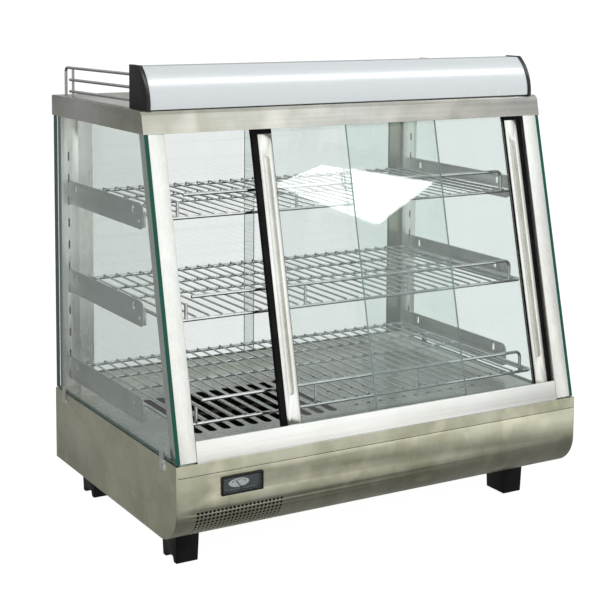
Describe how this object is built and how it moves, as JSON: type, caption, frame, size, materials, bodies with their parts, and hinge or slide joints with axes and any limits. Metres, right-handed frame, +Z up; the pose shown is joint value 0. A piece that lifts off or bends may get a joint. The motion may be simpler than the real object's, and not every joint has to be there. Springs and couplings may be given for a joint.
{
  "type": "hot food display case",
  "caption": "Countertop heated display case with leaning glass doors, wire shelves on hooked brackets, a lit canopy and a base housing on feet",
  "frame": {"origin": "on the table under the middle of the case, measured over everything it carries", "axes": "+X to the right seen from the customer side, +Y from the customer side to the server side, +Z up"},
  "size_m": [0.705, 0.4766, 0.71],
  "materials": {
    "body_steel": "brushed stainless sheet",
    "deck_steel": "brushed stainless sheet",
    "frame_steel": "bright brushed stainless",
    "stile_steel": "brushed stainless",
    "foot_plastic": "black moulded plastic",
    "element": "oxidised steel tube",
    "black_plastic": "black moulded plastic",
    "dial": "white enamel",
    "needle_red": "red plastic",
    "window_plastic": "clear window",
    "ceramic": "cream ceramic housing",
    "rocker_red": "red gloss plastic",
    "glass": "clear tempered glass",
    "chrome_trim": "polished",
    "seal_black": "black brush and rubber",
    "white_metal": "white paint",
    "lamp_white": "white tube",
    "opal": "opal acrylic",
    "cap_black": "black plastic",
    "rail_wire": "stainless wire",
    "shelf_wire": "chromed wire",
    "bracket_zinc": "zinc plated sheet"
  },
  "bodies": {
    "cabinet": {"base_wrap": "body_steel", "base_side_left": "body_steel", "base_side_right": "body_steel", "base_rear_panel": "body_steel", "deck": "deck_steel", "foot_front_left": "foot_plastic", "foot_front_right": "foot_plastic", "foot_rear_left": "foot_plastic", "foot_rear_right": "foot_plastic", "heater_element": "element", "heater_tray": "deck_steel", "gauge_case": "black_plastic", "gauge_dial": "dial", "gauge_window": "window_plastic", "thermostat_body": "ceramic", "power_switch": "black_plastic", "light_switch": "black_plastic", "mains_gland": "black_plastic", "front_sill": "frame_steel", "front_header": "frame_steel", "front_post_left": "frame_steel", "front_post_right": "frame_steel", "rear_sill": "frame_steel", "rear_header": "frame_steel", "rear_post_left": "frame_steel", "rear_post_right": "frame_steel", "side_glass_left": "glass", "side_glass_right": "glass", "glass_clips": "chrome_trim", "roof": "body_steel", "light_channel": "white_metal", "lamp": "lamp_white", "diffuser": "opal", "end_cap_left": "cap_black", "end_cap_right": "cap_black", "rail_left": "rail_wire", "rail_right": "rail_wire", "shelf_top": "shelf_wire", "shelf_middle": "shelf_wire", "shelf_low_rack": "shelf_wire", "bracket_top_left": "bracket_zinc", "bracket_top_right": "bracket_zinc", "bracket_middle_left": "bracket_zinc", "bracket_middle_right": "bracket_zinc", "bracket_low_left": "bracket_zinc", "bracket_low_right": "bracket_zinc"},
    "front_left_door": {"front_left_glass": "glass", "front_left_stile": "stile_steel", "front_left_seals": "seal_black"},
    "front_right_door": {"front_right_glass": "glass", "front_right_stile": "stile_steel", "front_right_seals": "seal_black"},
    "rear_left_door": {"rear_left_glass": "glass", "rear_left_stile": "stile_steel"},
    "rear_right_door": {"rear_right_glass": "glass", "rear_right_stile": "stile_steel"},
    "knob": {"thermostat_knob": "black_plastic"},
    "power_key": {"power_rocker": "rocker_red"},
    "light_key": {"light_rocker": "black_plastic"},
    "needle": {"gauge_needle": "needle_red"}
  },
  "joints": [
    {"name": "front_left_slide", "type": "slide", "parent": "cabinet", "child": "front_left_door", "axis": [1, 0, 0], "range_m": [-0.148, 0.156]},
    {"name": "front_right_slide", "type": "slide", "parent": "cabinet", "child": "front_right_door", "axis": [1, 0, 0], "range_m": [-0.304, 0]},
    {"name": "rear_left_slide", "type": "slide", "parent": "cabinet", "child": "rear_left_door", "axis": [1, 0, 0], "range_m": [0, 0.304]},
    {"name": "rear_right_slide", "type": "slide", "parent": "cabinet", "child": "rear_right_door", "axis": [1, 0, 0], "range_m": [-0.304, 0]},
    {"name": "knob_turn", "type": "hinge", "parent": "cabinet", "child": "knob", "pos_m": [0.24, 0.21825, 0.118], "axis": [0, -1, 0], "range_deg": [0, 270]},
    {"name": "power_rock", "type": "hinge", "parent": "cabinet", "child": "power_key", "pos_m": [0.165, 0.21725, 0.118], "axis": [1, 0, 0], "range_deg": [0, 18]},
    {"name": "light_rock", "type": "hinge", "parent": "cabinet", "child": "light_key", "pos_m": [0.125, 0.21725, 0.118], "axis": [1, 0, 0], "range_deg": [0, 18]},
    {"name": "needle_swing", "type": "hinge", "parent": "cabinet", "child": "needle", "pos_m": [-0.249, -0.23575, 0.1285], "axis": [0, 1, 0], "range_deg": [0, 76]}
  ]
}
